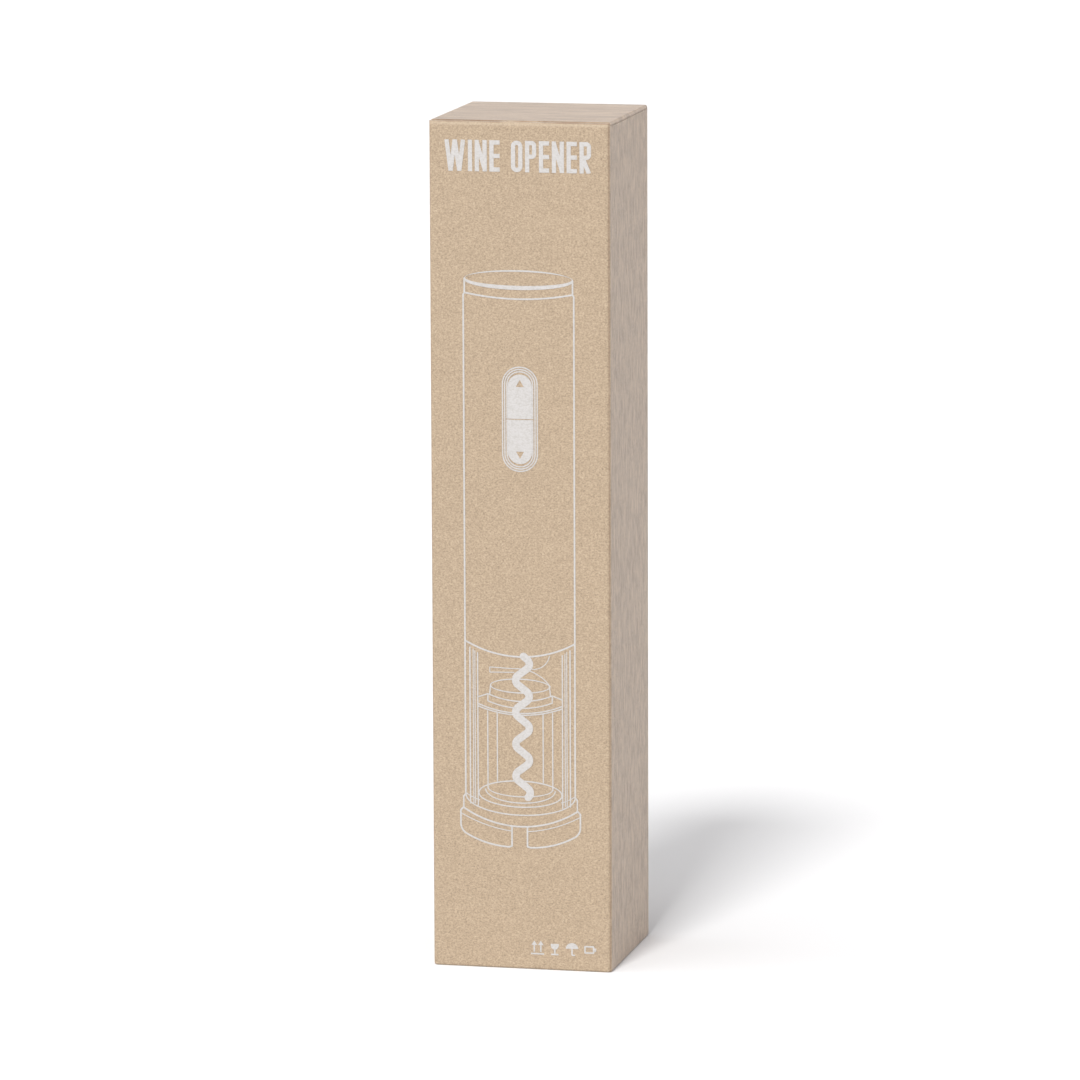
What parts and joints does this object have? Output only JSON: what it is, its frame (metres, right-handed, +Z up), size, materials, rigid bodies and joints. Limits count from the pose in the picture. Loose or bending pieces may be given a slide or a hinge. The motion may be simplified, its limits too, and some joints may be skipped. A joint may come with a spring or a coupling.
{
  "type": "boxed electric wine opener",
  "caption": "Upright kraft board carton with a white line drawing, holding a battery wine opener with a clear sleeve, steel worm, rocker switch and foil cutter.",
  "frame": {"origin": "middle of the carton's base", "axes": "+Z up; the printed front, and the opener's rocker, face -Y"},
  "size_m": [0.06, 0.0601, 0.28],
  "materials": {
    "kraft_board": "matt uncoated kraft board",
    "moulded_pulp": "rough moulded pulp",
    "white_ink": "matt white ink",
    "steel_shell": "brushed round the body",
    "black_plastic": "fine matt",
    "black_gloss": "polished",
    "rocker_plastic": "satin",
    "clear_plastic": "clear moulding",
    "worm_steel": "polished",
    "cutter_steel": "ground",
    "spring_steel": "drawn wire",
    "gear_plastic": "natural acetal",
    "bush_bronze": "sintered",
    "motor_steel": "plated",
    "armature_iron": "lacquered laminations",
    "circuit_board": "solder resist",
    "cell_jacket": "plain sleeve",
    "contact_nickel": "nickel",
    "lead_insulation": "wire insulation",
    "seal_rubber": "soft"
  },
  "bodies": {
    "base": {"bottom_closure": "kraft_board", "bottom_flaps": "kraft_board", "cradle_tray": "moulded_pulp"},
    "carton": {"carton_tube": "kraft_board", "printed_title": "white_ink", "printed_drawing": "white_ink", "printed_marks": "white_ink"},
    "lid": {"lid_panel": "kraft_board"},
    "tuck": {"tuck_flap": "kraft_board"},
    "dust_left": {"dust_flap_left": "kraft_board"},
    "dust_right": {"dust_flap_right": "kraft_board"},
    "foil_cutter": {"cutter_frame": "black_plastic", "jaw_pivot_pins": "worm_steel"},
    "jaw_left": {"cutter_jaw_left": "black_plastic", "wheel_pins_left": "cutter_steel"},
    "jaw_right": {"cutter_jaw_right": "black_plastic", "wheel_pins_right": "cutter_steel"},
    "wheel_1": {"cutter_wheel_1": "cutter_steel"},
    "wheel_2": {"cutter_wheel_2": "cutter_steel"},
    "wheel_3": {"cutter_wheel_3": "cutter_steel"},
    "wheel_4": {"cutter_wheel_4": "cutter_steel"},
    "sleeve": {"sleeve_collar": "black_plastic", "clear_sleeve": "clear_plastic", "neck_guide": "black_plastic"},
    "stop": {"cork_stop": "black_plastic"},
    "housing": {"body_shell": "steel_shell", "rocker_bezel": "black_gloss", "rocker_pin": "worm_steel", "switch_board": "circuit_board", "tact_switches": "black_plastic", "lower_bulkhead": "black_plastic", "thrust_bush": "bush_bronze", "return_spring": "spring_steel", "ring_gear": "gear_plastic", "motor_plate": "motor_steel", "motor_can": "motor_steel", "motor_end_cap": "black_plastic", "chassis_left": "black_plastic", "chassis_right": "black_plastic", "chassis_screws": "worm_steel", "battery_carrier": "black_plastic", "battery_cells": "cell_jacket", "battery_contacts": "contact_nickel", "motor_leads": "lead_insulation"},
    "rocker": {"rocker_button": "rocker_plastic"},
    "cap": {"top_cap": "black_plastic", "cap_plate": "steel_shell", "cap_seal": "seal_rubber"},
    "worm_drive": {"worm": "worm_steel", "worm_chuck": "motor_steel", "output_carrier": "gear_plastic"},
    "first_stage": {"first_carrier": "gear_plastic"},
    "rotor": {"motor_armature": "armature_iron"},
    "out_planet_1": {"output_planet_1": "gear_plastic"},
    "out_planet_2": {"output_planet_2": "gear_plastic"},
    "out_planet_3": {"output_planet_3": "gear_plastic"},
    "in_planet_1": {"first_planet_1": "gear_plastic"},
    "in_planet_2": {"first_planet_2": "gear_plastic"},
    "in_planet_3": {"first_planet_3": "gear_plastic"}
  },
  "joints": [
    {"name": "carton_lift", "type": "slide", "parent": "base", "child": "carton", "axis": [0, 0, 1], "range_m": [0, 0.25]},
    {"name": "carton_lid", "type": "hinge", "parent": "carton", "child": "lid", "pos_m": [0, 0.03, 0.2788], "axis": [-1, 0, 0], "range_deg": [0, 170]},
    {"name": "carton_tuck", "type": "hinge", "parent": "lid", "child": "tuck", "pos_m": [0, -0.0286, 0.2788], "axis": [-1, 0, 0], "range_deg": [0, 55]},
    {"name": "carton_dust_left", "type": "hinge", "parent": "carton", "child": "dust_left", "pos_m": [-0.03, 0, 0.2775], "axis": [0, -1, 0], "range_deg": [0, 110]},
    {"name": "carton_dust_right", "type": "hinge", "parent": "carton", "child": "dust_right", "pos_m": [0.03, 0, 0.2775], "axis": [0, 1, 0], "range_deg": [0, 110]},
    {"name": "opener_lift", "type": "slide", "parent": "base", "child": "foil_cutter", "axis": [0, 0, 1], "range_m": [0, 0.014]},
    {"name": "jaw_squeeze", "type": "hinge", "parent": "foil_cutter", "child": "jaw_left", "pos_m": [-0.0065, 0.0198, 0.0042], "axis": [0, 0, 1], "range_deg": [0, 3], "stiffness_Nm_per_rad": 0.6, "springref_deg": -1.15},
    {"name": "jaw_squeeze_right", "type": "hinge", "parent": "foil_cutter", "child": "jaw_right", "pos_m": [0.0065, 0.0198, 0.0042], "axis": [0, 0, -1], "range_deg": [0, 3]},
    {"name": "wheel_1_spin", "type": "hinge", "parent": "jaw_left", "child": "wheel_1", "pos_m": [-0.01594, -0.00996, 0.0078], "axis": [0, 0, 1], "continuous": true},
    {"name": "wheel_2_spin", "type": "hinge", "parent": "jaw_left", "child": "wheel_2", "pos_m": [-0.01594, 0.00996, 0.0078], "axis": [0, 0, 1], "continuous": true},
    {"name": "wheel_3_spin", "type": "hinge", "parent": "jaw_right", "child": "wheel_3", "pos_m": [0.01594, -0.00996, 0.0078], "axis": [0, 0, 1], "continuous": true},
    {"name": "wheel_4_spin", "type": "hinge", "parent": "jaw_right", "child": "wheel_4", "pos_m": [0.01594, 0.00996, 0.0078], "axis": [0, 0, 1], "continuous": true},
    {"name": "sleeve_lift", "type": "slide", "parent": "foil_cutter", "child": "sleeve", "axis": [0, 0, 1], "range_m": [0, 0.014]},
    {"name": "cork_stop_slide", "type": "slide", "parent": "sleeve", "child": "stop", "axis": [0, 0, 1], "range_m": [0, 0.018], "stiffness_N_per_m": 120, "springref_m": -0.004, "deforming": ["return_spring"]},
    {"name": "housing_lift", "type": "slide", "parent": "sleeve", "child": "housing", "axis": [0, 0, 1], "range_m": [0, 0.03]},
    {"name": "cap_lift", "type": "slide", "parent": "housing", "child": "cap", "axis": [0, 0, 1], "range_m": [0, 0.016]},
    {"name": "rocker_tilt", "type": "hinge", "parent": "housing", "child": "rocker", "pos_m": [0, -0.0217, 0.1848], "axis": [1, 0, 0], "range_deg": [-2.5, 2.5], "stiffness_Nm_per_rad": 0.4},
    {"name": "worm_spin", "type": "hinge", "parent": "housing", "child": "worm_drive", "pos_m": [0, 0, 0.0942], "axis": [0, 0, 1], "continuous": true},
    {"name": "stage_spin", "type": "hinge", "parent": "housing", "child": "first_stage", "pos_m": [0, 0, 0.1112], "axis": [0, 0, 1], "continuous": true},
    {"name": "rotor_spin", "type": "hinge", "parent": "housing", "child": "rotor", "pos_m": [0, 0, 0.1342], "axis": [0, 0, 1], "continuous": true},
    {"name": "out_planet_1_spin", "type": "hinge", "parent": "worm_drive", "child": "out_planet_1", "pos_m": [0.00877, 0, 0.1079], "axis": [0, 0, 1], "continuous": true},
    {"name": "in_planet_1_spin", "type": "hinge", "parent": "first_stage", "child": "in_planet_1", "pos_m": [0.00877, 0, 0.1169], "axis": [0, 0, 1], "continuous": true},
    {"name": "out_planet_2_spin", "type": "hinge", "parent": "worm_drive", "child": "out_planet_2", "pos_m": [-0.00439, 0.0076, 0.1079], "axis": [0, 0, 1], "continuous": true},
    {"name": "in_planet_2_spin", "type": "hinge", "parent": "first_stage", "child": "in_planet_2", "pos_m": [-0.00439, 0.0076, 0.1169], "axis": [0, 0, 1], "continuous": true},
    {"name": "out_planet_3_spin", "type": "hinge", "parent": "worm_drive", "child": "out_planet_3", "pos_m": [-0.00439, -0.0076, 0.1079], "axis": [0, 0, 1], "continuous": true},
    {"name": "in_planet_3_spin", "type": "hinge", "parent": "first_stage", "child": "in_planet_3", "pos_m": [-0.00439, -0.0076, 0.1169], "axis": [0, 0, 1], "continuous": true}
  ],
  "couplings": [
    {"joint": "carton_tuck", "follows": "carton_lid", "ratio": 0.3},
    {"joint": "carton_dust_left", "follows": "carton_lid", "ratio": 0.6},
    {"joint": "carton_dust_right", "follows": "carton_lid", "ratio": 0.6},
    {"joint": "jaw_squeeze_right", "follows": "jaw_squeeze", "ratio": 1},
    {"joint": "wheel_2_spin", "follows": "wheel_1_spin", "ratio": 1},
    {"joint": "wheel_3_spin", "follows": "wheel_1_spin", "ratio": 1},
    {"joint": "wheel_4_spin", "follows": "wheel_1_spin", "ratio": 1},
    {"joint": "stage_spin", "follows": "rotor_spin", "ratio": 0.22222},
    {"joint": "worm_spin", "follows": "rotor_spin", "ratio": 0.049383},
    {"joint": "out_planet_1_spin", "follows": "rotor_spin", "ratio": -0.13827},
    {"joint": "in_planet_1_spin", "follows": "rotor_spin", "ratio": -0.62222},
    {"joint": "out_planet_2_spin", "follows": "rotor_spin", "ratio": -0.13827},
    {"joint": "in_planet_2_spin", "follows": "rotor_spin", "ratio": -0.62222},
    {"joint": "out_planet_3_spin", "follows": "rotor_spin", "ratio": -0.13827},
    {"joint": "in_planet_3_spin", "follows": "rotor_spin", "ratio": -0.62222}
  ]
}
